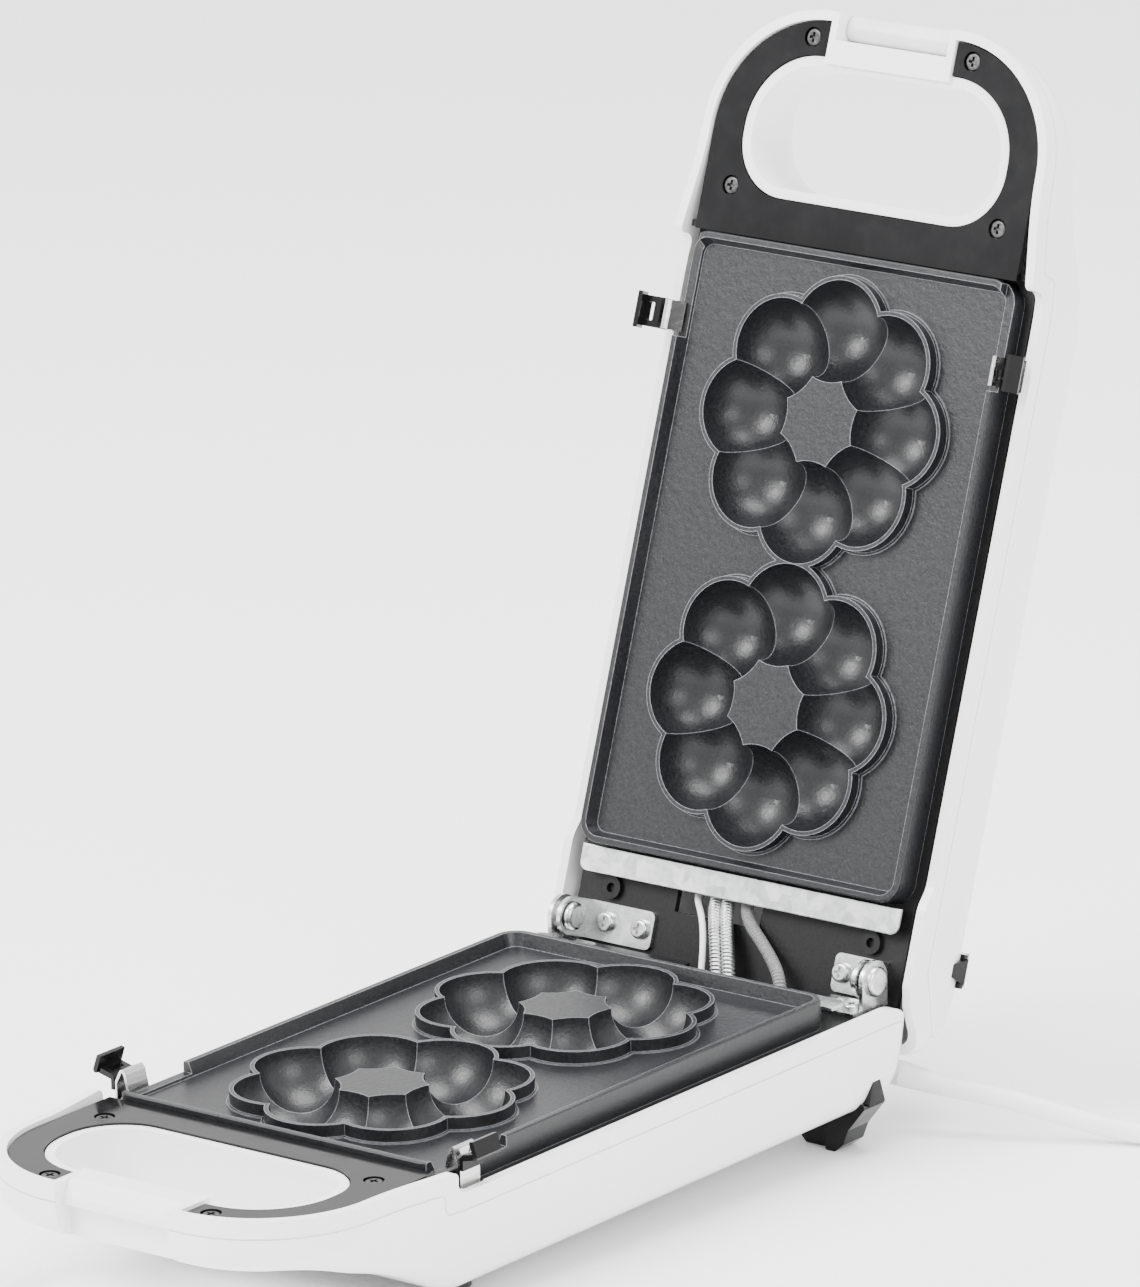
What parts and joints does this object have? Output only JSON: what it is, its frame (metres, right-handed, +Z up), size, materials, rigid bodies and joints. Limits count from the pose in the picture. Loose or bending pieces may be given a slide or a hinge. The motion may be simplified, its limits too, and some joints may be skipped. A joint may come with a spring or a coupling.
{
  "type": "donut_maker",
  "caption": "White donut maker standing open: ring moulds in black non-stick plates, hinged lid, handle, latch, plate clips, feet and mains cord.",
  "frame": {"origin": "on the table under the middle of the machine's box, cord left out", "axes": "+X to the right, -Y towards the handles, +Z up"},
  "size_m": [0.2535, 0.4909, 0.3224],
  "materials": {
    "white_housing": "gloss",
    "nonstick_plate": "satin, speckled non-stick coating",
    "black_trim": "gloss",
    "black_frame": "satin",
    "dark_screw": "blackened",
    "bright_steel": "zinc plated",
    "galvanised_steel": "galvanised sheet",
    "spring_steel": "polished spring steel",
    "grey_clasp": "translucent satin",
    "rubber_feet": "matt",
    "red_lens": "clear lens",
    "green_lens": "clear lens",
    "heater_sheath": "heat-tinted",
    "white_plastic": "satin",
    "grey_sleeve": "glass-fibre sleeve",
    "white_cord": "satin"
  },
  "bodies": {
    "base": {"base_bracket_screws": "bright_steel", "base_clip_pins": "spring_steel", "base_frame": "black_frame", "base_hinge_bracket_left": "bright_steel", "base_hinge_bracket_right": "bright_steel", "base_housing": "white_housing", "base_strip": "galvanised_steel", "base_trim": "black_trim", "base_trim_screws": "dark_screw", "cord_gland": "white_cord", "earth_wire": "white_cord", "front_feet": "rubber_feet", "hinge_rivets": "bright_steel", "hinge_sleeves": "galvanised_steel", "hinge_washers": "bright_steel", "lead_sleeve": "grey_sleeve", "lower_heater": "heater_sheath", "lower_heater_saddles": "galvanised_steel", "lower_plate": "nonstick_plate", "lower_reflector": "galvanised_steel", "lower_thermostat": "galvanised_steel", "mains_plug": "white_cord", "mains_plug_pins": "bright_steel", "power_cord": "white_cord", "power_cord_coil": "white_cord", "power_cord_tail": "white_cord", "rear_foot_left": "black_trim", "rear_foot_right": "black_trim", "terminal_block": "white_plastic", "thermal_fuse": "spring_steel"},
    "lid": {"latch_pin": "bright_steel", "lid_bracket_screws": "bright_steel", "lid_clip_pins": "spring_steel", "lid_frame": "black_frame", "lid_hinge_bracket_left": "bright_steel", "lid_hinge_bracket_right": "bright_steel", "lid_hook_left": "black_trim", "lid_hook_right": "black_trim", "lid_housing": "white_housing", "lid_strip": "galvanised_steel", "lid_trim": "black_trim", "lid_trim_screws": "dark_screw", "power_lamp": "red_lens", "ready_lamp": "green_lens", "upper_heater": "heater_sheath", "upper_heater_saddles": "galvanised_steel", "upper_plate": "nonstick_plate", "upper_reflector": "galvanised_steel", "upper_thermostat": "galvanised_steel"},
    "base_clip_left_body": {"base_clip_left": "spring_steel", "base_clip_cap_left": "black_trim"},
    "base_clip_right_body": {"base_clip_right": "spring_steel", "base_clip_cap_right": "black_trim"},
    "lid_clip_left_body": {"lid_clip_left": "spring_steel", "lid_clip_cap_left": "black_trim"},
    "lid_clip_right_body": {"lid_clip_right": "spring_steel", "lid_clip_cap_right": "black_trim"},
    "latch": {"latch_clasp": "grey_clasp"}
  },
  "joints": [
    {"name": "lid_hinge", "type": "hinge", "parent": "base", "child": "lid", "pos_m": [0, 0.08436, 0.05203], "axis": [1, 0, 0], "range_deg": [0, 109.3], "deforming": ["hinge_sleeves", "earth_wire", "lead_sleeve"]},
    {"name": "base_clip_left_press", "type": "hinge", "parent": "base", "child": "base_clip_left_body", "pos_m": [-0.0623, -0.11664, 0.03236], "axis": [0, -0.9996, -0.0297], "range_deg": [0, 6], "stiffness_Nm_per_rad": 2},
    {"name": "base_clip_right_press", "type": "hinge", "parent": "base", "child": "base_clip_right_body", "pos_m": [0.0623, -0.11664, 0.03236], "axis": [0, 0.9996, 0.0297], "range_deg": [0, 6], "stiffness_Nm_per_rad": 2},
    {"name": "lid_clip_left_press", "type": "hinge", "parent": "lid", "child": "lid_clip_left_body", "pos_m": [-0.0623, 0.15694, 0.22361], "axis": [0, -0.3024, -0.9532], "range_deg": [0, 6], "stiffness_Nm_per_rad": 2},
    {"name": "lid_clip_right_press", "type": "hinge", "parent": "lid", "child": "lid_clip_right_body", "pos_m": [0.0623, 0.15694, 0.22361], "axis": [0, 0.3024, 0.9532], "range_deg": [0, 6], "stiffness_Nm_per_rad": 2},
    {"name": "latch_turn", "type": "hinge", "parent": "lid", "child": "latch", "pos_m": [0, 0.17995, 0.31598], "axis": [1, 0, 0], "range_deg": [0, 180]}
  ]
}
